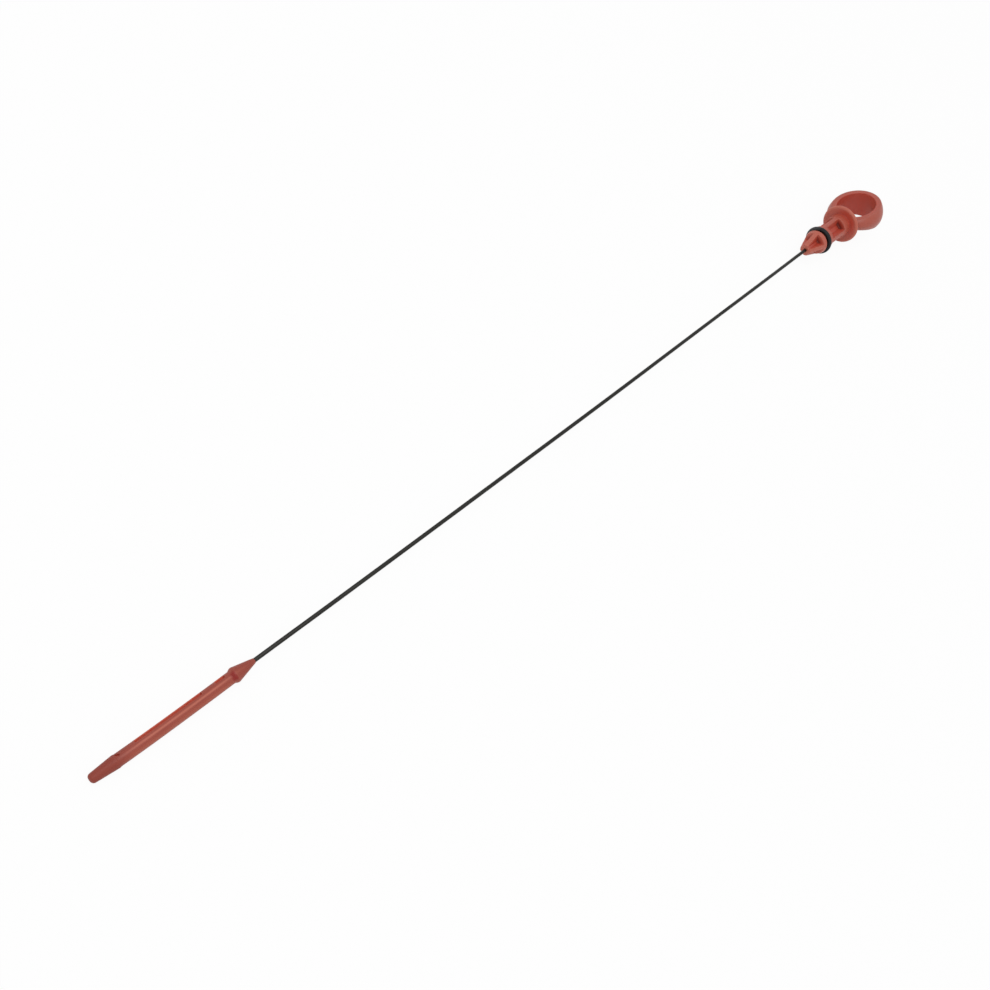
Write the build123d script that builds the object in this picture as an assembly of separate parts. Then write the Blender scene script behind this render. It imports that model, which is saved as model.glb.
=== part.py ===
# Engine oil dipstick: pull handle, seal ring, wire and level gauge, lying at rest.
# Built along X with the flange's seat at x = 0, then rolled and tipped onto its three resting points.
import os
from math import atan2, degrees, hypot, sqrt

from build123d import *

os.makedirs("parts", exist_ok=True)

# Sizes of the finger ring, in mm
ring_r_along = 17.0
ring_r_across = 15.85
ring_wall = 4.95
ring_crown = 2.0
ring_root_t = 3.6
ring_lift = 0.25
ring_half_height = 5.4
ring_half_slope = 0.16
ring_edge_round = 0.8
ring_hole_round = 0.3

# Sizes of the flange and the plug
flange_d = 22.3
flange_t = 2.0
flange_front_round = 0.8
flange_back_round = 0.8
plug_d = 13.7
collar_len = 5.5
plug_pocket_len = 13.2
rear_land_len = 3.1
plug_rib_t = 2.7
plug_core = 6.3
seal_groove_len = 3.9
seal_groove_d = 11.2

# Sizes of the nose below the seal
nose_base_d = 14.0
nose_tip_d = 6.7
nose_len = 12.0
nose_land_len = 2.1
nose_rib_t = 2.7
nose_core = 4.9
nose_end_round = 0.35
pocket_round = 0.35

# Sizes of the seal ring
seal_section_d = 2.5
seal_clear = 0.05

# Sizes of the wire and of the holes that hold it
wire_d = 1.85
wire_free_len = 394.0
wire_hold_handle = 14.0
wire_hold_gauge = 12.0
wire_clear = 0.02

# Sizes of the level gauge
cone_tip_d = 2.1
cone_len = 9.1
shoulder_d = 6.6
shoulder_len = 0.85
shoulder_back_d = 6.2
shoulder_chamfer_len = 0.85
shoulder_round = 0.5
rod_d = 5.18
rod_len = 49.3
tip_d = 5.5
tip_step_len = 0.6
tip_len = 10.6
tip_end_d = 3.8
tip_round = 1.5

# Sizes and places of the level recesses, from the rod's two ends
recess_turn = 19.0
recess_w = 1.9
recess_depth = 1.0
full_recess_len = 28.6
full_recess_from_tip = 8.1
short_recess_len = 4.1
short_recess_from_shoulder = 2.2
notch_len = 1.7
notch_w = 0.75
notch_depth = 0.75
notch_slant = -40.0
notch_turn = -4.0
notch_from_tip = 0.7

# Stations along the stick
collar_x = -collar_len
pocket_x = collar_x - plug_pocket_len
groove_back_x = pocket_x - rear_land_len
groove_front_x = groove_back_x - seal_groove_len
nose_pocket_x = groove_front_x - nose_land_len
nose_end_x = groove_front_x - nose_len
cone_x = nose_end_x - wire_free_len
shoulder_x = cone_x - cone_len
shoulder_back_x = shoulder_x - shoulder_len
rod_x = shoulder_back_x - shoulder_chamfer_len
step_x = rod_x - rod_len
tip_x = step_x - tip_step_len
end_x = tip_x - tip_len
ring_x = flange_t + ring_root_t - ring_wall + ring_r_along
wire_start_x = cone_x - wire_hold_gauge
wire_end_x = nose_end_x + wire_hold_handle


def turned(*points):
    # A solid of revolution about X from (x, radius) points
    outline = make_face(Polyline(*[(x, r) for x, r in points], close=True))
    return revolve(outline, Axis.X)


def bar(start, end, d):
    # A round bar along X between two stations
    return Plane.YZ.offset(start) * extrude(Circle(d / 2), end - start)


def rib_pockets(start, end, core, rib_t, reach):
    # Four hollows between two crossed ribs, with flat floors on a square core turned by 45 degrees
    half = rib_t / 2
    floor = core / 2 * sqrt(2) - half
    corner = [(half, reach), (half, floor), (floor, half), (reach, half), (reach, reach)]
    one = extrude(make_face(Polyline(*corner, close=True)), end - start)
    fillet_edges = one.edges().filter_by(Axis.Z).sort_by(lambda e: e.center().X + e.center().Y)[:2]
    one = fillet(fillet_edges, pocket_round)
    return [Plane.YZ.offset(start) * Rot(0, 0, 90 * k) * one for k in range(4)]


def finger_ring():
    # An oval band with a bulged outer face, taller away from the flange, its near side sunk in the flange
    lean = hypot(1, ring_half_slope)
    hole_along = ring_r_along - ring_wall
    hole_across = ring_r_across - ring_wall
    edge = Ellipse((ring_r_along - ring_crown) * lean, ring_r_across - ring_crown)
    top_z = ring_lift + ring_half_height
    low_z = ring_lift - ring_half_height
    top = Plane((ring_x, 0, top_z), x_dir=(1, 0, ring_half_slope), z_dir=(-ring_half_slope, 0, 1))
    low = Plane((ring_x, 0, low_z), x_dir=(1, 0, -ring_half_slope), z_dir=(ring_half_slope, 0, 1))
    waist = Plane((ring_x, 0, ring_lift)) * Ellipse(ring_r_along, ring_r_across)
    band = loft([low * edge, waist, top * edge])
    reach = ring_half_height + ring_half_slope * 2 * ring_r_along
    band -= extrude(Pos(ring_x, 0) * Ellipse(hole_along, hole_across), reach, both=True)
    rims = [e for e in band.edges() if abs(e.center().Z - ring_lift) > ring_half_height / 4 and e.is_closed]
    rims.sort(key=lambda e: e.length)
    band = fillet(rims[2:], ring_edge_round)
    return fillet(band.edges().filter_by(lambda e: e.is_closed).sort_by(SortBy.LENGTH)[:2], ring_hole_round)


def pull_handle():
    body = turned(
        (nose_end_x, 0),
        (nose_end_x, nose_tip_d / 2 - nose_end_round),
        (nose_end_x + nose_end_round, nose_tip_d / 2),
        (groove_front_x, nose_base_d / 2),
        (groove_front_x, seal_groove_d / 2),
        (groove_back_x, seal_groove_d / 2),
        (groove_back_x, plug_d / 2),
        (0, plug_d / 2),
        (0, 0),
    )
    body -= rib_pockets(nose_end_x - 1, nose_pocket_x, nose_core, nose_rib_t, nose_base_d)
    body -= rib_pockets(pocket_x, collar_x, plug_core, plug_rib_t, plug_d)
    flange = bar(0, flange_t, flange_d)
    flange = fillet(flange.edges().filter_by(GeomType.CIRCLE).sort_by(Axis.X)[:1], flange_front_round)
    flange = fillet(flange.edges().filter_by(GeomType.CIRCLE).sort_by(Axis.X)[-1:], flange_back_round)
    body = body + flange + finger_ring()
    return body - bar(nose_end_x - 1, wire_end_x, wire_d + 2 * wire_clear)


def o_ring_seal():
    mean_r = seal_groove_d / 2 + seal_clear + seal_section_d / 2
    place = groove_back_x - seal_clear - seal_section_d / 2
    return Plane.YZ.offset(place) * Torus(mean_r, seal_section_d / 2)


def gauge_wire():
    return bar(wire_start_x, wire_end_x, wire_d)


def level_gauge():
    body = turned(
        (end_x, 0),
        (end_x, tip_end_d / 2),
        (tip_x, tip_d / 2),
        (step_x, rod_d / 2),
        (rod_x, rod_d / 2),
        (shoulder_back_x, shoulder_back_d / 2),
        (shoulder_x, shoulder_d / 2),
        (cone_x, cone_tip_d / 2),
        (cone_x, 0),
    )
    rims = body.edges().filter_by(GeomType.CIRCLE)
    body = fillet(rims.filter_by_position(Axis.X, end_x - 0.01, end_x + 0.01), tip_round)
    rims = body.edges().filter_by(GeomType.CIRCLE)
    body = fillet(rims.filter_by_position(Axis.X, shoulder_back_x - 0.01, shoulder_x + 0.01), shoulder_round)

    floor = rod_d / 2 - recess_depth
    full = Box(full_recess_len, recess_w, rod_d, align=(Align.MIN, Align.CENTER, Align.MIN))
    short = Box(short_recess_len, recess_w, rod_d, align=(Align.MAX, Align.CENTER, Align.MIN))
    body -= Rot(-recess_turn, 0, 0) * Pos(step_x + full_recess_from_tip, 0, floor) * full
    body -= Rot(-recess_turn, 0, 0) * Pos(rod_x - short_recess_from_shoulder, 0, floor) * short

    notch = Box(notch_len, notch_w, rod_d, align=(Align.CENTER, Align.CENTER, Align.MIN))
    place = Pos(step_x + notch_from_tip, 0, rod_d / 2 - notch_depth) * Rot(0, 0, notch_slant)
    body -= Rot(notch_turn, 0, 0) * place * notch
    return body - bar(wire_start_x, cone_x + 1, wire_d + 2 * wire_clear)


def lowest(shape, tilt, roll):
    # How low a shape reaches once the stick is rolled about its own length and tipped
    return (Rot(0, -tilt, 0) * Rot(-roll, 0, 0) * shape).bounding_box().min.Z


def roll_to_rest(ring, tilt, floor_z):
    # The stick rolls on its round flange until the edge of the finger ring meets the floor
    level, upright = 0.0, 90.0
    if lowest(ring, tilt, upright) > floor_z:
        return level
    for _ in range(14):
        half_way = (level + upright) / 2
        if lowest(ring, tilt, half_way) > floor_z:
            level = half_way
        else:
            upright = half_way
    return level


pieces = {
    "pull_handle": pull_handle(),
    "o_ring_seal": o_ring_seal(),
    "gauge_wire": gauge_wire(),
    "level_gauge": level_gauge(),
}

# At rest the stick lies on the gauge's tip, the flange's rim and the edge of the finger ring
rest_tilt = degrees(atan2(flange_d / 2 - tip_d / 2, flange_front_round - tip_x))
floor_z = lowest(bar(flange_front_round, flange_t, flange_d), rest_tilt, 0)
rest_roll = roll_to_rest(finger_ring(), rest_tilt, floor_z)
lying = Rot(0, -rest_tilt, 0) * Rot(-rest_roll, 0, 0)
laid = {name: lying * shape for name, shape in pieces.items()}
boxes = [shape.bounding_box() for shape in laid.values()]
middle_x = (min(b.min.X for b in boxes) + max(b.max.X for b in boxes)) / 2
middle_y = (min(b.min.Y for b in boxes) + max(b.max.Y for b in boxes)) / 2
bottom_z = min(b.min.Z for b in boxes)

for name, shape in laid.items():
    export_step(Pos(-middle_x, -middle_y, -bottom_z) * shape, os.path.join("parts", name + ".step"))
print("tilt", round(rest_tilt, 4), "roll", round(rest_roll, 3))
print("middle", round(middle_x, 4), round(middle_y, 4), "bottom", round(bottom_z, 4), "floor", round(floor_z, 4))
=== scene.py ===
import math

import bpy
import numpy as np
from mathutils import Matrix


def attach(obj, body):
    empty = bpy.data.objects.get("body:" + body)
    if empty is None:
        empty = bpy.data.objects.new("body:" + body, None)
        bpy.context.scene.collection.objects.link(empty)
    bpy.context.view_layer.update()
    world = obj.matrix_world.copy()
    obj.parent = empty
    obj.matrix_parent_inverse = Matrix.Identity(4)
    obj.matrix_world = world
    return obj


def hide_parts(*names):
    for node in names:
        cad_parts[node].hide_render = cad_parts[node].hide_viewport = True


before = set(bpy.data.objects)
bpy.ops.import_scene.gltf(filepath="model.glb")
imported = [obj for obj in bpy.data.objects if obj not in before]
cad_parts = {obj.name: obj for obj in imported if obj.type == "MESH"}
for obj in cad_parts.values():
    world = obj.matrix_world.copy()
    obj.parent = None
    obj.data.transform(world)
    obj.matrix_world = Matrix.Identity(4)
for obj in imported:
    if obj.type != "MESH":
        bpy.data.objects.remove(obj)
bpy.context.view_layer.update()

print("frame loaded")

mm = 0.001
tiny = 1e-9

# How the stick lies: rolled onto its finger ring, tipped onto its tip, then moved by the flange's seat.
# The bow is how far the wire and the gauge lie to the side of a straight line, in mm at stations along X
lay = {
    "tilt": math.radians(0.9757),
    "roll": math.radians(29.575),
    "seat": (0.2341466, -0.0001234, 0.0111349),
    "bowAt": (-503, -480, -458, -431, -400, -370, -300, -230, -130, -70, -37.7, -10, 60),
    "bowBy": (0.52, -0.05, -0.26, -0.26, -0.48, -0.62, -0.77, -0.87, -0.43, -0.2, 0, 0, 0),
    "straight": 3,  # the last stations, within the handle, where the bow has ended
}


def bow(x):
    # Cubic Hermite pieces between the stations, with central slopes that are level in the handle
    at, by = np.array(lay["bowAt"]), np.array(lay["bowBy"])
    slope = np.gradient(by, at)
    slope[-lay["straight"]:] = 0.0
    i = np.clip(np.searchsorted(at, x) - 1, 0, len(at) - 2)
    h = at[i + 1] - at[i]
    t = np.clip((x - at[i]) / h, 0.0, 1.0)
    low = (2 * t ** 3 - 3 * t ** 2 + 1) * by[i] + (t ** 3 - 2 * t ** 2 + t) * h * slope[i]
    return low + (3 * t ** 2 - 2 * t ** 3) * by[i + 1] + (t ** 3 - t ** 2) * h * slope[i + 1]


def laid(points):
    # Stick frame in mm to the row frame in metres: a turn about X, a turn about Y, the bow, then a move
    station, y, z = points[..., 0], points[..., 1], points[..., 2]
    c, s = math.cos(lay["roll"]), math.sin(lay["roll"])
    y, z = y * c + z * s, z * c - y * s
    c, s = math.cos(lay["tilt"]), math.sin(lay["tilt"])
    x, z = station * c - z * s, station * s + z * c
    return np.stack([x, y + bow(station), z], axis=-1) * mm + np.array(lay["seat"])


# Shape helpers
def smooth(t):
    # 0 to 1 with level ends: t squared times (3 - 2t), t held between 0 and 1
    t = np.clip(t, 0.0, 1.0)
    return t * t * (3.0 - 2.0 * t)


def between(x, low, high, soft):
    # 1 inside low to high, 0 outside, with a soft step of that width centred on each end
    return smooth((x - low) / soft + 0.5) * smooth((high - x) / soft + 0.5)


def softer(a, b, k):
    # The lesser of two values, with the corner where they cross rounded over about k
    return np.minimum(a, b) - k * np.log1p(np.exp(-np.abs(a - b) / k))


def halfTurns(degrees):
    # The same angle as -180 to 180 degrees
    return (degrees + 180.0) % 360.0 - 180.0


def onLine(x, a, b):
    # The radius at station x on the straight line through two (x, r) points
    return a[1] + (x - a[0]) * (b[1] - a[1]) / (b[0] - a[0])


def level(x, r):
    # A run of (x, r) points that all have the same radius
    return np.stack([x, np.full_like(x, r)], axis=-1)


def rounded(corners, steps=7):
    # A line through (x, r, cut) corners, each cut back by that length and bridged by an arc:
    # a rational quadratic from cut point to cut point, weighted by the cosine of half the turn
    p = np.array(corners, dtype=float)
    c, cut = p[1:-1, :2], p[1:-1, 2:]
    back = p[:-2, :2] - c
    ahead = p[2:, :2] - c
    back /= np.linalg.norm(back, axis=1, keepdims=True)
    ahead /= np.linalg.norm(ahead, axis=1, keepdims=True)
    w = np.sqrt(np.clip((1.0 - np.sum(back * ahead, axis=1, keepdims=True)) / 2.0, 0.0, 1.0))
    t = np.linspace(0.0, 1.0, steps)[None, :, None]
    a, b = (c + back * cut)[:, None], (c + ahead * cut)[:, None]
    low = (1 - t) ** 2 + 2 * w[:, None] * t * (1 - t) + t ** 2
    arcs = ((1 - t) ** 2 * a + 2 * w[:, None] * t * (1 - t) * c[:, None] + t ** 2 * b) / low
    return np.concatenate([p[:1, :2], arcs.reshape(-1, 2), p[-1:, :2]])


def spun(x, r, angle):
    # Points at distance r from the axis at station x, the angle counted from +Z towards +Y
    return np.stack(np.broadcast_arrays(x, r * np.sin(angle), r * np.cos(angle)), axis=-1)


def turning(p, wrapRows):
    # How sharply the grid turns at each point, outwards positive: the sum of the unit steps to the
    # two neighbours, along rows and along columns, measured against the surface's normal, then blurred
    def step(k, axis, wrap):
        s = np.roll(p, -k, axis) - p
        if not wrap:
            edge = [slice(None)] * 3
            edge[axis] = -1 if k > 0 else 0
            s[tuple(edge)] = 0.0
        return s

    def bend(a, b):
        la = np.linalg.norm(a, axis=2, keepdims=True)
        lb = np.linalg.norm(b, axis=2, keepdims=True)
        both = (la > tiny) & (lb > tiny)
        return np.where(both, a / (la + tiny) + b / (lb + tiny), 0.0)

    up, down = step(1, 0, wrapRows), step(-1, 0, wrapRows)
    left, right = step(1, 1, True), step(-1, 1, True)
    normal = np.cross(up - down, left - right)
    normal /= np.linalg.norm(normal, axis=2, keepdims=True) + tiny
    turn = np.sum((bend(up, down) + bend(left, right)) * normal, axis=2)
    for axis in (0, 1):
        turn = 0.5 * turn + 0.25 * (np.roll(turn, 1, axis) + np.roll(turn, -1, axis))
    return turn


def skin(p, marks, wrapRows=False):
    # Quads over a grid of points, closed round the columns, with a fan to a point at each open end.
    # The marks, each 0 to 1 over the grid, say where painted light and shade go: red bounce light in the
    # hollows, paler marks and painted highlights, painted shade, and a painted highlight on lit walls
    rows, cols = p.shape[:2]
    i, j = np.meshgrid(np.arange(rows if wrapRows else rows - 1), np.arange(cols), indexing="ij")
    i2, j2 = (i + 1) % rows, (j + 1) % cols
    quads = np.stack([i * cols + j, i * cols + j2, i2 * cols + j2, i2 * cols + j], axis=-1).reshape(-1, 4)
    marks = {key: np.broadcast_to(value, p.shape[:2]).ravel() for key, value in marks.items()}
    marks["turn"] = turning(p, wrapRows).ravel()
    points = p.reshape(-1, 3)
    fans = np.zeros((0, 3), dtype=int)
    if not wrapRows:
        n = len(points)
        k = np.arange(cols)
        k2 = (k + 1) % cols
        last = (rows - 1) * cols
        first = np.stack([k2, k, np.full(cols, n)], axis=-1)
        end = np.stack([last + k, last + k2, np.full(cols, n + 1)], axis=-1)
        fans = np.concatenate([first, end])
        points = np.concatenate([points, p[0].mean(axis=0)[None], p[-1].mean(axis=0)[None]])
        marks = {key: np.concatenate([value, [0.0, 0.0]]) for key, value in marks.items()}
    a, b, c, d = (points[quads[:, k]] for k in range(4))
    volume = np.sum(a * np.cross(b, c)) + np.sum(a * np.cross(c, d))
    if volume < 0:
        quads, fans = quads[:, ::-1], fans[:, ::-1]
        marks["turn"] = -marks["turn"]
    return points, quads, fans, marks


# The turn at which an edge or a crease is fully marked, and the share left out as too slight
turnMarks = {"full": 0.3, "slight": 0.15}


def makePiece(name, node, slot, material, *skins):
    # One object from one or more closed skins, with its place in the stick frame and its marks
    points = np.concatenate([s[0] for s in skins])
    starts = np.cumsum([0] + [len(s[0]) for s in skins[:-1]])
    faces = []
    for s, start in zip(skins, starts):
        faces += (s[1] + start).tolist() + (s[2] + start).tolist()
    turn = np.concatenate([s[3]["turn"] for s in skins]) / turnMarks["full"]
    marks = {"edge": turn - turnMarks["slight"], "crease": -turn - turnMarks["slight"]}
    for key in ("hollow", "worn", "paintedShade", "paintedHighlight"):
        marks[key] = np.concatenate([s[3].get(key, np.zeros(len(s[0]))) for s in skins])
    mesh = bpy.data.meshes.new(name)
    mesh.from_pydata(laid(points).tolist(), [], faces)
    mesh.polygons.foreach_set("use_smooth", np.ones(len(mesh.polygons), dtype=bool))
    place = mesh.attributes.new("stick", "FLOAT_VECTOR", "POINT")
    place.data.foreach_set("vector", points.astype(np.float32).ravel())
    for key, value in marks.items():
        layer = mesh.attributes.new(key, "FLOAT", "POINT")
        layer.data.foreach_set("value", np.clip(value, 0.0, 1.0).astype(np.float32))
    mesh.update()
    obj = bpy.data.objects.new(name, mesh)
    bpy.context.scene.collection.objects.link(obj)
    obj.data.materials.append(material)
    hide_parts(node)
    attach(obj, "root")
    print("made", name, len(mesh.vertices), "points", len(mesh.polygons), "faces")


# Shader helpers
def tone(r, g, b):
    # An sRGB colour of 0 to 255 as the linear colour a shader takes
    c = np.array([r, g, b]) / 255.0
    c = np.where(c <= 0.04045, c / 12.92, ((c + 0.055) / 1.055) ** 2.4)
    return (float(c[0]), float(c[1]), float(c[2]), 1.0)


def put(tree, kind, inputs, **settings):
    # A new node: sockets given as inputs are linked, and other values are set on the node's own sockets
    n = tree.nodes.new("ShaderNode" + kind)
    for key, value in settings.items():
        setattr(n, key, value)
    for key, value in inputs.items():
        if isinstance(value, bpy.types.NodeSocket):
            tree.links.new(value, n.inputs[key])
        else:
            n.inputs[key].default_value = value
    return n


def mark(tree, name, kind="Fac"):
    return put(tree, "Attribute", {}, attribute_name=name).outputs[kind]


def noise(tree, vector, scale, detail=3.0, rough=0.55):
    inputs = {"Vector": vector, "Scale": scale, "Detail": detail, "Roughness": rough}
    return put(tree, "TexNoise", inputs).outputs["Fac"]


def stretched(tree, vector, scale):
    return put(tree, "Mapping", {"Vector": vector, "Scale": scale}).outputs["Vector"]


def alongStick(tree, vector):
    return put(tree, "SeparateXYZ", {"Vector": vector}).outputs["X"]


def maths(tree, operation, a, b):
    return put(tree, "Math", {0: a, 1: b}, operation=operation).outputs[0]


def times(tree, a, b):
    return maths(tree, "MULTIPLY", a, b)


def plus(tree, a, b):
    return maths(tree, "ADD", a, b)


def ranged(tree, value, low, high, toLow, toHigh):
    spread = {"Value": value, "From Min": low, "From Max": high, "To Min": toLow, "To Max": toHigh}
    return put(tree, "MapRange", spread).outputs["Result"]


def blend(tree, fac, a, b):
    # The colour mix has its factor at socket 0 and its colours at sockets 6 and 7
    return put(tree, "Mix", {0: fac, 6: a, 7: b}, data_type="RGBA").outputs[2]


def tint(tree, colour, value, low, high, most, towards):
    # The colour moves towards another one, by up to most, as a value goes from low to high
    return blend(tree, ranged(tree, value, low, high, 0.0, most), colour, towards)


def newShader(name):
    mat = bpy.data.materials.new(name)
    mat.use_nodes = True
    return mat, mat.node_tree, mat.node_tree.nodes["Principled BSDF"]


def feed(tree, bsdf, colour, roughness, height, relief):
    # The colour, the roughness and a bump of that relief, in metres, go into the shader
    tree.links.new(colour, bsdf.inputs["Base Color"])
    tree.links.new(roughness, bsdf.inputs["Roughness"])
    bump = put(tree, "Bump", {"Height": height, "Strength": 0.6, "Distance": relief})
    tree.links.new(bump.outputs["Normal"], bsdf.inputs["Normal"])


def handlePlastic():
    # Red satin plastic: cloudy tone, fine grain, scuffs and specks and paler rubbed edges, with painted
    # shade in creases and at pocket ends, painted red bounce light and shade in the hollows, and painted
    # highlight on the flange
    look = {
        "deep": tone(166, 68, 50),
        "mid": tone(177, 79, 60),
        "pale": tone(186, 95, 76),
        "faded": tone(162, 76, 60),
        "rubbed": tone(198, 115, 96),
        "corner": tone(120, 26, 16),
        "bounceLight": tone(182, 68, 50),
        "endShade": tone(88, 22, 14),
        "cloudScale": 0.09,
        "grainScale": 1.6,
        "speckScale": 2.6,
        "dimpleScale": 4.0,
        "scuffStretch": (0.35, 2.6, 2.6),
        "fade": (1.5, 7.0),  # from the flange's back to the root of the finger ring
        "roughness": (0.36, 0.48),
        "relief": 0.00004,
        "ior": 1.5,
    }
    mat, tree, bsdf = newShader("handlePlastic")
    place = mark(tree, "stick", "Vector")
    cloud = noise(tree, place, look["cloudScale"], 4.0)
    grain = noise(tree, place, look["grainScale"], 5.0, 0.65)
    scuff = noise(tree, stretched(tree, place, look["scuffStretch"]), 1.0, 6.0, 0.7)
    speck = noise(tree, place, look["speckScale"], 2.0, 0.5)
    dimples = noise(tree, place, look["dimpleScale"])
    colour = tint(tree, look["deep"], cloud, 0.3, 0.7, 1.0, look["mid"])
    colour = tint(tree, colour, grain, 0.45, 0.75, 0.6, look["pale"])
    rub = times(tree, mark(tree, "edge"), ranged(tree, grain, 0.3, 0.7, 0.1, 0.6))
    colour = blend(tree, rub, colour, look["rubbed"])
    colour = tint(tree, colour, alongStick(tree, place), *look["fade"], 0.6, look["faded"])
    colour = tint(tree, colour, scuff, 0.57, 0.7, 0.4, look["rubbed"])
    colour = tint(tree, colour, speck, 0.66, 0.72, 0.5, look["corner"])
    # Pockets, the ring's hole and the collar's foot take a more saturated red as painted bounce light and
    # shade
    colour = blend(tree, times(tree, mark(tree, "hollow"), 0.9), colour, look["bounceLight"])
    # Paler nose and ring hole, and the flange's rim and lit side painted paler as highlight
    colour = blend(tree, times(tree, mark(tree, "worn"), 0.9), colour, look["pale"])
    # Concave creases are painted darker, unevenly, as shade
    creaseShade = times(tree, mark(tree, "crease"), ranged(tree, cloud, 0.3, 0.7, 0.35, 0.75))
    colour = blend(tree, creaseShade, colour, look["corner"])
    # Pocket ends are painted darker as shade
    colour = blend(tree, mark(tree, "paintedShade"), colour, look["endShade"])
    rough = ranged(tree, grain, 0.3, 0.7, *look["roughness"])
    feed(tree, bsdf, colour, rough, plus(tree, dimples, scuff), look["relief"])
    bsdf.inputs["IOR"].default_value = look["ior"]
    return mat


def gaugePlastic():
    # The same plastic, browner from oil, with faint streaks along its length, painted highlights along the
    # rod and on the recesses' far wall, painted red bounce light in the recesses and painted shade at the
    # shoulder and the notch
    look = {
        "deep": tone(144, 56, 40),
        "mid": tone(153, 64, 47),
        "pale": tone(162, 75, 57),
        "rubbed": tone(182, 92, 69),
        "corner": tone(138, 20, 6),
        "bounceLight": tone(183, 76, 57),
        "oily": tone(130, 44, 28),
        "paintedHighlight": tone(220, 116, 95),
        "cloudScale": 0.12,
        "grainScale": 2.2,
        "speckScale": 2.6,
        "dimpleScale": 4.0,
        "streakStretch": (0.12, 2.2, 2.2),
        "oilyTip": (-486.0, -494.0),
        "oilyCone": (-442.0, -438.0),
        "dullTip": (-490.0, -494.0),
        "roughness": (0.42, 0.58),
        "relief": 0.00004,
        "ior": 1.5,
    }
    mat, tree, bsdf = newShader("gaugePlastic")
    place = mark(tree, "stick", "Vector")
    along = alongStick(tree, place)
    cloud = noise(tree, place, look["cloudScale"], 4.0)
    streak = noise(tree, stretched(tree, place, look["streakStretch"]), 1.0, 4.0)
    grain = noise(tree, place, look["grainScale"], 5.0, 0.65)
    speck = noise(tree, place, look["speckScale"], 2.0, 0.5)
    dimples = noise(tree, place, look["dimpleScale"])
    colour = tint(tree, look["deep"], cloud, 0.3, 0.7, 1.0, look["mid"])
    colour = tint(tree, colour, streak, 0.45, 0.75, 0.7, look["pale"])
    colour = tint(tree, colour, speck, 0.64, 0.71, 0.5, look["corner"])
    rub = times(tree, mark(tree, "edge"), ranged(tree, grain, 0.3, 0.7, 0.1, 0.6))
    colour = blend(tree, rub, colour, look["rubbed"])
    colour = tint(tree, colour, along, *look["oilyTip"], 0.65, look["oily"])
    colour = tint(tree, colour, along, *look["oilyCone"], 0.35, look["oily"])
    # Two bands along the rod are painted paler as highlight
    colour = blend(tree, times(tree, mark(tree, "worn"), 0.9), colour, look["rubbed"])
    # Recesses and the notch are painted a brighter red as bounce light
    colour = blend(tree, mark(tree, "hollow"), colour, look["bounceLight"])
    # The recesses' far wall is painted with a highlight
    colour = blend(tree, mark(tree, "paintedHighlight"), colour, look["paintedHighlight"])
    # The shoulder's crescent and the notch are painted darker as shade
    colour = blend(tree, mark(tree, "paintedShade"), colour, look["corner"])
    rough = ranged(tree, streak, 0.3, 0.7, *look["roughness"])
    rough = plus(tree, rough, ranged(tree, along, *look["dullTip"], 0.0, 0.1))
    feed(tree, bsdf, colour, rough, plus(tree, dimples, streak), look["relief"])
    bsdf.inputs["IOR"].default_value = look["ior"]
    return mat


def sealRubber():
    # Black rubber with a greyish bloom and fine grain, and a paler painted highlight over its top
    look = {
        "deep": tone(10, 10, 11),
        "bloom": tone(30, 31, 33),
        "topSheen": tone(62, 61, 62),
        "cloudScale": 0.5,
        "grainScale": 5.0,
        "roughness": (0.42, 0.6),
        "relief": 0.00003,
        "specular": 0.27,
    }
    mat, tree, bsdf = newShader("sealRubber")
    place = mark(tree, "stick", "Vector")
    cloud = noise(tree, place, look["cloudScale"], 4.0)
    grain = noise(tree, place, look["grainScale"], 4.0, 0.6)
    colour = tint(tree, look["deep"], cloud, 0.4, 0.75, 0.5, look["bloom"])
    # The top is painted paler as a highlight
    colour = blend(tree, mark(tree, "worn"), colour, look["topSheen"])
    feed(tree, bsdf, colour, ranged(tree, grain, 0.3, 0.7, *look["roughness"]), grain, look["relief"])
    bsdf.inputs["Specular IOR Level"].default_value = look["specular"]
    return mat


def wireSteel():
    # Dark drawn steel: long fine scratches along the wire under a thin oil film
    look = {
        "dark": tone(34, 34, 32),
        "bright": tone(60, 59, 56),
        "scratchStretch": (0.05, 9.0, 9.0),
        "filmStretch": (0.08, 0.4, 0.4),
        "roughness": (0.3, 0.5),
        "relief": 0.00002,
        "metallic": 0.85,
    }
    mat, tree, bsdf = newShader("wireSteel")
    place = mark(tree, "stick", "Vector")
    scratch = noise(tree, stretched(tree, place, look["scratchStretch"]), 1.0, 5.0, 0.7)
    film = noise(tree, stretched(tree, place, look["filmStretch"]), 1.0, 4.0)
    colour = tint(tree, look["dark"], scratch, 0.35, 0.7, 1.0, look["bright"])
    colour = tint(tree, colour, film, 0.5, 0.75, 0.5, look["dark"])
    feed(tree, bsdf, colour, ranged(tree, film, 0.3, 0.7, *look["roughness"]), scratch, look["relief"])
    bsdf.inputs["Metallic"].default_value = look["metallic"]
    return mat


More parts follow.
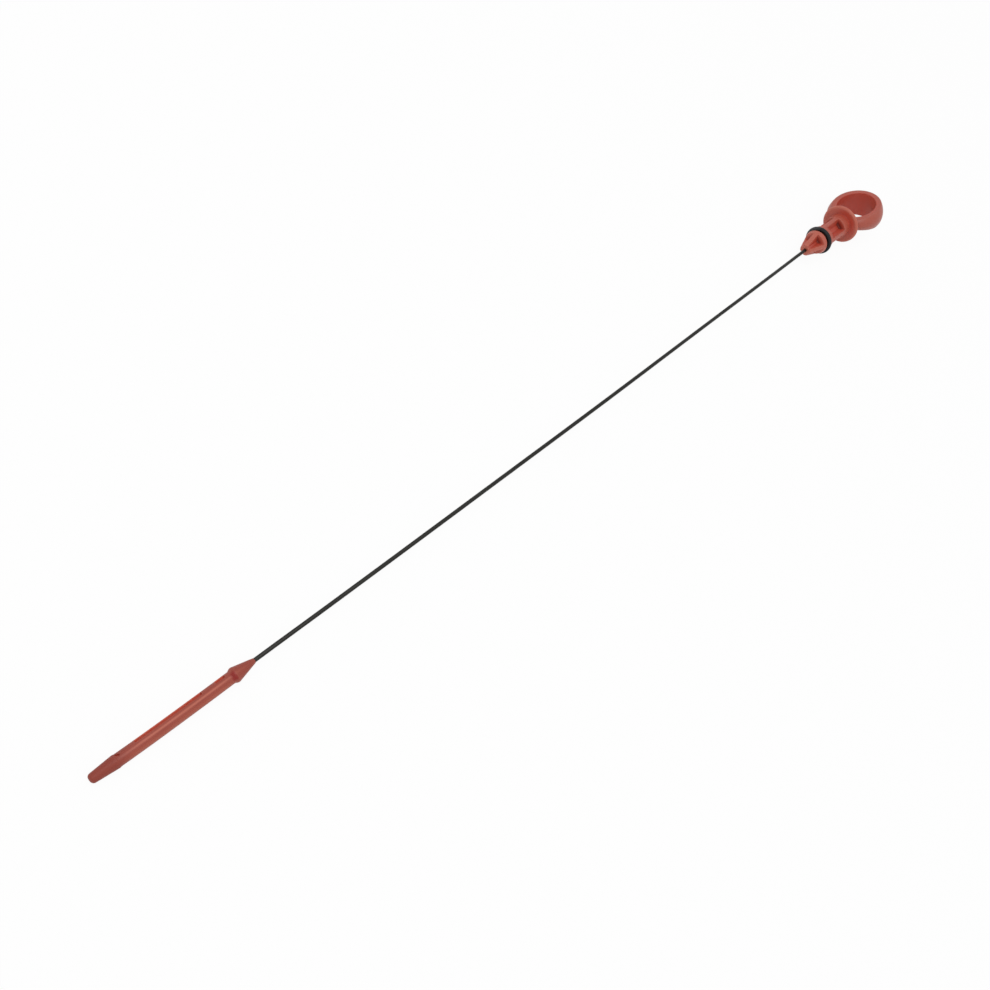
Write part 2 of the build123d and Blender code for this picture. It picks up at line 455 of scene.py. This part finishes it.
# Pull handle's body, in mm and degrees: points are (x, r), pockets and the groove run from low x to high x
body = {
    "flangeR": 11.15,
    "flangeT": 2.0,
    "plugR": 6.85,
    "plugPocket": (-18.7, -5.5),
    "groove": (-25.7, -21.8),
    "grooveR": 5.6,
    "grooveLap": 0.3,  # how far the groove's own outline reaches past both its ends
    "noseBase": (-25.7, 7.0),
    "noseTip": (-37.35, 3.35),
    "nosePocket": (-60.0, -27.8),  # runs out past the nose's end
    "noseRimX": -37.3,
    "noseEnd": (-37.7, 3.24),
    "hole": 0.945,
    "holeEndX": -23.7,
    "rib": 1.35,
    "ribSoft": 0.09,
    "cores": (6.3, 4.9),  # across the flats of the core, in the plug and in the nose
    "floors": (23.5, 32.5),  # where a pocket's floor starts, in the plug and in the nose
    "pocketSoft": 0.3,
    "shaded": (-120.0, 10.0, 60.0),  # the side of the flange away from the light, which gets painted shade and no painted highlight, and how softly
    # Pocket ends painted darker as shade, each as low, high and softness along X
    "plugShade": (-6.6, -5.45, 0.4),
    "noseShade": (-28.9, -27.65, 0.5),
}


def noseRadius(x):
    return onLine(x, body["noseBase"], body["noseTip"])


def bodyOutline():
    # Points from the back of the flange along the plug, the groove and the nose into the wire's hole
    flangeR, flangeT, plugR, grooveR = (body[key] for key in ("flangeR", "flangeT", "plugR", "grooveR"))
    pocketLow, pocketHigh = body["plugPocket"]
    grooveLow, grooveHigh = body["groove"]
    lap = body["grooveLap"]
    wall = body["pocketSoft"] * np.linspace(-1.0, 1.0, 9)
    flange = rounded([(flangeT, 0.3, 0), (flangeT, flangeR, 0.7), (0.8, flangeR, 0.45), (0.12, 10.3, 0.5),
                      (0, 8.6, 0.6), (0, plugR, 0.3), (-2, plugR, 0)])
    inPocket = np.linspace(pocketHigh - 0.9, pocketLow + 0.9, 12)
    plugX = np.concatenate([[-3.5, -5.0], pocketHigh - wall, inPocket, pocketLow - wall, [-20.0, -21.2]])
    groove = rounded([(grooveHigh + lap, plugR, 0), (grooveHigh, plugR, 0.15), (grooveHigh, grooveR, 0.15),
                      (grooveLow, grooveR, 0.15), (*body["noseBase"], 0.15),
                      (grooveLow - lap, noseRadius(grooveLow - lap), 0)], 5)
    noseX = np.concatenate([[-26.6, -27.2], body["nosePocket"][1] - wall, np.linspace(-28.6, -37.2, 16)])
    nose = np.stack([noseX, noseRadius(noseX)], axis=-1)
    end = rounded([(body["noseRimX"], noseRadius(body["noseRimX"]), 0), (*body["noseEnd"], 0.22),
                   (body["noseEnd"][0], body["hole"], 0.1), (body["holeEndX"] - 0.5, body["hole"], 0),
                   (body["holeEndX"], 0.2, 0)], 5)
    path = np.concatenate([flange, level(plugX, plugR), groove, nose, end])
    return path[:, :1], path[:, 1:]


def bodyColumns(reach, onNose):
    # Angles round the body, alike in each eighth: they crowd at a rib's edge and at the foot of its wall
    edge = np.degrees(np.arcsin(body["rib"] / reach))
    plugFloor, noseFloor = body["floors"]
    floor = plugFloor + onNose * (noseFloor - plugFloor)
    inRib = np.array([0, 0.35, 0.65, 0.85]) * (edge - 1.5)
    atEdge = edge + np.array([-1.5, -0.9, -0.5, -0.2, 0.05, 0.3, 0.6, 1.0, 1.6])
    onWall = edge + 1.6 + np.array([0.2, 0.4, 0.6, 0.8, 1.0]) * (floor - edge - 3.6)
    atFloor = floor + np.array([-1, 0, 1, 2.4])
    onFloor = floor + 2.4 + np.array([0.35, 0.7, 1.0]) * (42.6 - floor)
    eighth = np.concatenate([inRib, atEdge, onWall, atFloor, onFloor], axis=1)
    quarter = np.concatenate([eighth, 90.0 - eighth[:, -2:0:-1]], axis=1)
    return np.radians(np.concatenate([quarter + 90.0 * k for k in range(4)], axis=1))


def bodyMarks(x, r, a, outer, radius, cut):
    # Pockets take painted red bounce light and shade, and so does the foot of the collar, mostly on the
    # side away from the light; the flange's rim and the lit side of its face are painted paler as
    # highlight, the nose and its end face paler; pocket ends get painted shade
    inShade = between(halfTurns(np.degrees(a)), *body["shaded"])
    solid = r > body["hole"] + tiny
    foot = smooth(10.0 - r) * (x > -0.9) * (x < 0.3) * (0.2 + 0.8 * inShade)
    noseFace = smooth((-36.0 - x) / 1.2) * solid
    hollow = np.clip(cut * (outer - radius) / 1.2 + foot, 0.0, 1.0) * (1.0 - noseFace)
    rim = (x > -0.1) * (x < 1.6) * smooth((r - 9.9) / 0.7)
    side = 0.4 * (x > -0.1) * (x < 0.5) * (r > 7.2) * (1.0 - inShade)
    nose = 0.7 * (x < -25.0)
    worn = np.clip(rim + side + nose + noseFace, 0.0, 1.0) * (1.0 - hollow)
    depth = smooth((outer - radius - 0.6) / 2.6)
    paintedShade = depth * (0.8 * between(x, *body["plugShade"]) + 0.5 * between(x, *body["noseShade"]))
    return {"hollow": hollow, "worn": worn, "paintedShade": paintedShade}


def bodyGrid():
    # A body turned from an outline, then cut between crossed ribs: the radius is the lesser of the
    # outline and the ribs' own outline, which is rib half width over sine or cosine, or the core's flat
    x, r = bodyOutline()
    grooveLow, grooveHigh = body["groove"]
    onNose = smooth((grooveHigh - x) / (grooveHigh - grooveLow))
    onNoseR = np.clip(noseRadius(x), 3.3, body["noseBase"][1])
    reach = np.where(x > grooveLow - body["grooveLap"], body["plugR"], onNoseR)
    a = bodyColumns(reach, onNose)

    s, c = np.abs(np.sin(a)), np.abs(np.cos(a))
    plugCore, noseCore = body["cores"]
    core = (plugCore + (noseCore - plugCore) * onNose) / math.sqrt(2.0)
    crossed = body["rib"] / np.maximum(np.minimum(s, c), tiny)
    ribs = np.maximum(crossed, core / (s + c))
    cut = between(x, *body["plugPocket"], body["pocketSoft"])
    cut = cut + between(x, *body["nosePocket"], body["pocketSoft"])
    outer = np.maximum(reach, r)
    pocketed = r + cut * (softer(outer, ribs, body["ribSoft"]) - outer)

    # On the nose's end face the outline shrinks evenly from the ribbed rim to the wire's hole
    hole, rimX = body["hole"], body["noseRimX"]
    share = np.clip((r - hole) / (noseRadius(rimX) - hole), 0.0, 1.0)
    onFace = hole + (softer(noseRadius(rimX), ribs, body["ribSoft"]) - hole) * share
    inHole = (r <= hole + tiny) & (x < 0.0)
    radius = np.where(inHole, r, np.where(x <= rimX, onFace, pocketed))
    return spun(x, radius, a), bodyMarks(x, r, a, outer, radius, cut)


# Finger ring, in mm: an oval band whose half height grows by the slope along X
ring = {
    "x": 17.65,
    "lift": 0.25,
    "hole": (12.05, 10.9),
    "wall": 4.945,
    "crown": 2.0,
    "half": 5.385,
    "slope": 0.16,
    "round": 0.8,
    "lip": 0.3,
    "flare": 1.2,
    "handled": (-115.0, -20.0, 50.0),  # the stretch rubbed by fingers, in degrees, and how softly
    "steps": 192,
}


def ringSection(h):
    # The section for each half height h, as distance w out from the hole and height m: a bulged outer face,
    # w = wall - crown times (m / h) squared, an arc that leaves it without a break, a flat rim, a small
    # quarter round at the hole and the hole's straight wall
    rho, lip = ring["round"], ring["lip"]

    def lean(m):
        return np.arctan(2.0 * ring["crown"] * m / h ** 2)

    top = h - rho
    for _ in range(6):
        top = h - rho + rho * np.sin(lean(top))
    outM = top * np.linspace(-1.0, 1.0, 19)
    outW = ring["wall"] - ring["crown"] * (outM / h) ** 2
    start = lean(top)
    centreW = outW[:, -1:] - rho * np.cos(start)
    swing = start + (math.pi / 2 - start) * np.linspace(0.0, 1.0, 7)[1:]
    rimW, rimM = centreW + rho * np.cos(swing), h - rho + rho * np.sin(swing)
    flat = np.linspace(0.0, 1.0, 6)[1:-1]
    flatW, flatM = centreW + (lip - centreW) * flat, h + 0 * flat
    bend = math.pi / 2 * np.linspace(0.0, 1.0, 7)
    lipW, lipM = lip - lip * np.sin(bend) + 0 * h, h - lip + lip * np.cos(bend)
    wallM = (h - lip) * np.linspace(1.0, -1.0, 9)[1:-1]
    halfW = np.concatenate([rimW, flatW, lipW], axis=1)
    halfM = np.concatenate([rimM, flatM, lipM], axis=1)
    w = np.concatenate([outW, halfW, 0 * wallM, halfW[:, ::-1]], axis=1)
    m = np.concatenate([outM, halfM, wallM, -halfM[:, ::-1]], axis=1)
    return w, m


def ringGrid():
    # The section carried round ellipses of half axes hole + w, with a small flare where it meets the flange
    u = np.linspace(0.0, 2.0 * math.pi, ring["steps"], endpoint=False)[:, None]
    h = ring["half"] + ring["slope"] * (ring["hole"][0] + ring["wall"] / 2) * np.cos(u)
    w, m = ringSection(h)
    x = (ring["hole"][0] + w) * np.cos(u)
    y = (ring["hole"][1] + w) * np.sin(u)
    m = m * (ring["half"] + ring["slope"] * x) / h
    near = np.clip(1.0 - (x + ring["x"] - body["flangeT"]) / ring["flare"], 0.0, 1.0)
    swell = ring["flare"] * (1.0 - np.sqrt(1.0 - near ** 2))
    y = y + np.sign(y) * swell * smooth((w - ring["round"]) / 1.5)
    z = m + ring["lift"] + np.sign(m) * swell * 0.6
    onRim = smooth(w / ring["lip"])
    # The hole's wall, and less so the rim, take painted red bounce light
    bounceLight = 1.0 - 0.45 * onRim - 0.55 * smooth((w - ring["lip"]) / 2.4)
    handled = 0.5 * between(halfTurns(np.degrees(u)), *ring["handled"]) * (1.0 - onRim)
    return np.stack([x + ring["x"], y, z], axis=-1), {"hollow": bounceLight, "worn": handled}


handleSkins = skin(*bodyGrid()), skin(*ringGrid(), True)
makePiece("pullHandle", "pull_handle", "handle_plastic", handlePlastic(), *handleSkins)

# Seal ring, in mm, with the stretch of its painted top highlight as low, high and softness in degrees
seal = {"x": -23.1, "mean": 6.9, "section": 1.25, "topSheen": (5.0, 60.0, 50.0)}


def sealGrid():
    # A torus: a circle of the section's radius carried round a circle of the mean radius, with a painted
    # highlight on its top
    a = np.linspace(0.0, 2.0 * math.pi, 120, endpoint=False)[:, None]
    b = np.linspace(0.0, 2.0 * math.pi, 36, endpoint=False)[None, :]
    r = seal["mean"] + seal["section"] * np.cos(b)
    topSheen = between(np.degrees(a), *seal["topSheen"])
    return spun(seal["x"] + seal["section"] * np.sin(b), r, a), {"worn": topSheen}


makePiece("sealRing", "o_ring_seal", "seal_rubber", sealRubber(), skin(*sealGrid(), True))

# Wire, in mm
wire = {"ends": (-443.7, -23.7), "radius": 0.925, "round": 0.12}


def wireGrid():
    # A circle carried along the axis, its two ends closed with a small rounding
    low, high = wire["ends"]
    head = rounded([(low, 0.2, 0), (low, wire["radius"], wire["round"]), (low + 1, wire["radius"], 0)])
    run = level(np.linspace(low + 3, high - 3, 180), wire["radius"])
    tail = head[::-1] * np.array([-1.0, 1.0]) + np.array([low + high, 0.0])
    path = np.concatenate([head, run, tail])
    a = np.linspace(0.0, 2.0 * math.pi, 32, endpoint=False)[None, :]
    return spun(path[:, :1], path[:, 1:], a)


makePiece("gaugeWire", "gauge_wire", "wire_steel", wireSteel(), skin(wireGrid(), {}))

# Level gauge, in mm and degrees: points are (x, r), and recesses run from low x to high x
gauge = {
    "hole": 0.945,
    "holeEndX": -443.7,
    "coneTip": (-431.7, 1.05),
    "shoulder": (-440.8, 3.3),
    "shoulderBack": (-441.65, 3.1),
    "rod": 2.59,
    "rodX": (-491.8, -442.5),
    "tip": (-492.4, 2.75),
    "end": (-502.99, 1.9),
    "endRound": 1.38,
    "recessTurn": 19.0,
    "recessHalf": 0.95,
    "recessFloor": 1.59,
    "recessSoft": 0.14,
    "full": (-483.7, -455.1),
    "short": (-448.8, -444.7),
    "notchX": -491.1,
    "notchTurn": 4.0,
    "notchSlant": math.radians(-40.0),
    "notchHalf": (0.85, 0.375),
    "notchFloor": 1.84,
    "notchSoft": 0.12,
    "fineTurn": (-24, 46),  # the columns over the recesses and the notch are a degree apart
    # Bands of painted highlight and painted shade, each as low, high and softness along X and then round
    # the rod
    "wornLine": ((-486.0, -443.5, 16.0), (-40.0, -24.0, 10.0)),
    "lowLitBand": ((-488.0, -443.0, 8.0), (-115.0, -68.0, 36.0)),
    "crescentShade": ((-442.9, -441.0, 0.5), (-82.0, -8.0, 30.0)),
}


def gaugeOutline():
    # Points from the end of the wire's hole over the cone, the shoulder and the rod to the tip's end
    rod, (rodLow, rodHigh) = gauge["rod"], gauge["rodX"]
    fullLow, fullHigh = gauge["full"]
    shortLow, shortHigh = gauge["short"]
    holeX, hole = gauge["holeEndX"], gauge["hole"]
    coneTip, shoulder, tip, end = (gauge[key] for key in ("coneTip", "shoulder", "tip", "end"))
    wall = np.linspace(-0.12, 0.12, 7)
    root = rounded([(holeX, 0.2, 0), (holeX, hole, 0.1), (coneTip[0], hole, 0.04), (*coneTip, 0.04),
                    (-433.5, onLine(-433.5, coneTip, shoulder), 0)], 5)
    cone = rounded([(-435.0, onLine(-435.0, coneTip, shoulder), 0), (*shoulder, 0.25),
                    (*gauge["shoulderBack"], 0.2), (rodHigh, rod, 0.15), (rodHigh - 0.9, rod, 0)])
    runX = np.concatenate([[-444.0], shortHigh - wall, [-445.5, -446.7, -448.0], shortLow - wall,
                           np.linspace(-449.6, -454.4, 6), fullHigh - wall, np.linspace(-456.0, -482.8, 24),
                           fullLow - wall, np.linspace(-484.6, -489.4, 6)])
    step = rounded([(-489.9, rod, 0), (rodLow, rod, 0.1), (*tip, 0.2),
                    (-493.2, onLine(-493.2, tip, end), 0)])
    nearNotch = np.concatenate([np.linspace(-490.0, -491.65, 34), np.linspace(-491.9, -492.2, 7)])
    stepX = np.sort(np.concatenate([step[:, 0], nearNotch]))[::-1]
    step = np.stack([stepX, np.interp(-stepX, -step[:, 0], step[:, 1])], axis=-1)
    last = rounded([(-494.0, onLine(-494.0, tip, end), 0), (*end, gauge["endRound"]), (end[0], 0.2, 0)], 9)
    path = np.concatenate([root, cone, level(runX, rod), step, last])
    return path[:, :1], path[:, 1:]


def notchDip(x, deg):
    # 1 inside a slanted oblong on the rod's side, 0 outside, with soft walls, and the radius of its
    # flat floor, which is the floor's height over the cosine of the angle
    a = np.radians(deg - gauge["notchTurn"])
    along, across = x - gauge["notchX"], gauge["rod"] * np.sin(a)
    c, s = math.cos(gauge["notchSlant"]), math.sin(gauge["notchSlant"])
    run, side = along * c + across * s, across * c - along * s
    halfLong, halfWide = gauge["notchHalf"]
    soft = gauge["notchSoft"]
    inside = between(run, -halfLong, halfLong, soft) * between(side, -halfWide, halfWide, soft)
    return inside * (np.abs(a) < 1.0), gauge["notchFloor"] / np.maximum(np.cos(a), 0.5)


def gaugeBand(key, x, deg):
    # 1 inside one of the bands, 0 outside, with soft edges
    alongX, around = gauge[key]
    return between(x, *alongX) * between(halfTurns(deg), *around)


def gaugeGrid():
    # A rod turned from an outline. Columns over a recess slide from the rod's circle to the recess's own
    # outline, wall, floor and wall, where the recess runs. A notch lowers the radius to a flat floor
    x, r = gaugeOutline()
    first, last = gauge["fineTurn"]
    fine = np.arange(first, last + 1.0)
    coarse = np.linspace(last, first + 360.0, 60)[1:-1]
    deg = np.concatenate([fine, coarse])[None, :]
    dip, notchFloor = notchDip(x, deg)
    radius = r + dip * (np.minimum(notchFloor, gauge["rod"]) - r)
    p = spun(x, radius, np.radians(deg))

    half, floor, turn = gauge["recessHalf"], gauge["recessFloor"], math.radians(gauge["recessTurn"])
    q = np.radians(deg) - turn
    rim = math.asin(half / gauge["rod"])
    high = gauge["rod"] * math.cos(rim)
    t = np.clip(q / rim, -1.0, 1.0) * (high - floor + half)
    lateral = np.clip(t, -half, half)
    height = floor + np.maximum(np.abs(t) - half, 0.0)
    y = lateral * math.cos(turn) + height * math.sin(turn)
    z = height * math.cos(turn) - lateral * math.sin(turn)
    soft = gauge["recessSoft"]
    runs = between(x, *gauge["full"], soft) + between(x, *gauge["short"], soft)
    cut = runs * (np.abs(q) < rim)
    p[..., 1] += cut * (y - p[..., 1])
    p[..., 2] += cut * (z - p[..., 2])

    # Recesses take painted red bounce light and their far wall a painted highlight, two bands along the rod
    # are painted paler as highlight, the shoulder's crescent and the notch get painted shade
    worn = gaugeBand("wornLine", x, deg) + 0.5 * gaugeBand("lowLitBand", x, deg)
    paintedShade = np.maximum(gaugeBand("crescentShade", x, deg), 0.5 * dip)
    farWallHighlight = cut * smooth((t - half - 0.12) / 0.3)
    return p, {"hollow": np.clip(cut + dip, 0.0, 1.0), "worn": worn, "paintedShade": paintedShade, "paintedHighlight": farWallHighlight}


makePiece("levelGauge", "level_gauge", "gauge_plastic", gaugePlastic(), skin(*gaugeGrid()))

# Floor and light, in metres and watts: the floor is all but white to the eye and keeps a faint shadow
stage = {
    "white": (1.0, 1.0, 1.0, 1.0),
    "floorMatte": (0.9, 0.9, 0.9, 1.0),
    "floorGlow": 0.94,
    "floorHalf": 3.0,
    "floorSquares": 4,
    "worldLight": 0.68,
}
lamps = {
    "overhead": {"spot": (-0.15, 0.05, 1.2), "size": 0.5, "watts": 4.0},
    "nearSide": {"spot": (0.25, -1.1, 0.4), "size": 0.8, "watts": 14.0},
    "frontLeft": {"spot": (-1.6, -0.6, 1.0), "size": 0.9, "watts": 25.0},
}


def seenDirectly(tree):
    # 1 for what the camera sees, also in metal or glass, and 0 for the light that falls on the part
    rays = put(tree, "LightPath", {}).outputs
    seen = maths(tree, "MAXIMUM", rays["Is Camera Ray"], rays["Is Glossy Ray"])
    return maths(tree, "MAXIMUM", seen, rays["Is Transmission Ray"])


def floorShader():
    mat, tree, bsdf = newShader("paleFloor")
    tree.nodes.remove(bsdf)
    matte = put(tree, "BsdfDiffuse", {"Color": stage["floorMatte"]})
    glow = put(tree, "Emission", {"Color": stage["white"], "Strength": 1.0})
    share = times(tree, seenDirectly(tree), stage["floorGlow"])
    mixed = put(tree, "MixShader", {0: share, 1: matte.outputs[0], 2: glow.outputs[0]})
    tree.links.new(mixed.outputs[0], tree.nodes["Material Output"].inputs["Surface"])
    return mat


def makeFloor():
    # A flat square grid, level with the part's lowest point
    squares = stage["floorSquares"]
    t = np.linspace(-stage["floorHalf"], stage["floorHalf"], squares + 1)
    x, y = np.meshgrid(t, t, indexing="ij")
    points = np.stack([x, y, np.zeros_like(x)], axis=-1).reshape(-1, 3)
    i, j = np.meshgrid(np.arange(squares), np.arange(squares), indexing="ij")
    k = i * (squares + 1) + j
    quads = np.stack([k, k + squares + 1, k + squares + 2, k + 1], axis=-1).reshape(-1, 4)
    mesh = bpy.data.meshes.new("floor")
    mesh.from_pydata(points.tolist(), [], quads.tolist())
    obj = bpy.data.objects.new("floor", mesh)
    bpy.context.scene.collection.objects.link(obj)
    obj.data.materials.append(floorShader())


def makeWorld():
    world = bpy.data.worlds.new("studio")
    bpy.context.scene.world = world
    world.use_nodes = True
    sky = world.node_tree
    strength = ranged(sky, seenDirectly(sky), 0.0, 1.0, stage["worldLight"], 1.0)
    sky.links.new(strength, sky.nodes["Background"].inputs["Strength"])
    sky.nodes["Background"].inputs["Color"].default_value = stage["white"]


def makeLamp(name, spot, size, watts):
    # A square lamp that points at the middle of the part's bottom
    data = bpy.data.lights.new(name, "AREA")
    data.size = size
    data.energy = watts
    obj = bpy.data.objects.new(name, data)
    bpy.context.scene.collection.objects.link(obj)
    obj.location = spot
    aim = -np.array(spot) / np.linalg.norm(spot)
    obj.rotation_euler = (math.acos(-aim[2]), 0.0, math.atan2(aim[0], -aim[1]))


makeFloor()
makeWorld()
for name, lamp in lamps.items():
    makeLamp(name, **lamp)

# Camera: its place in metres, its turn in degrees, its focal length in pixels of the photograph
view = {
    "spot": (-0.315767, -0.064884, 0.403991),
    "turn": (27.0397, -19.0807, -43.8664),
    "focalPixels": 1060.0,
    "framePixels": 990.0,
    "sensor": 36.0,
    "nearest": 0.01,
}
camData = bpy.data.cameras.new("photoCamera")
camData.sensor_width = view["sensor"]
camData.lens = view["sensor"] * view["focalPixels"] / view["framePixels"]
camData.clip_start = view["nearest"]
camera = bpy.data.objects.new("photoCamera", camData)
bpy.context.scene.collection.objects.link(camera)
camera.location = view["spot"]
camera.rotation_euler = [math.radians(v) for v in view["turn"]]
bpy.context.scene.camera = camera
bpy.context.scene.view_settings.view_transform = "Standard"
print("stage set")
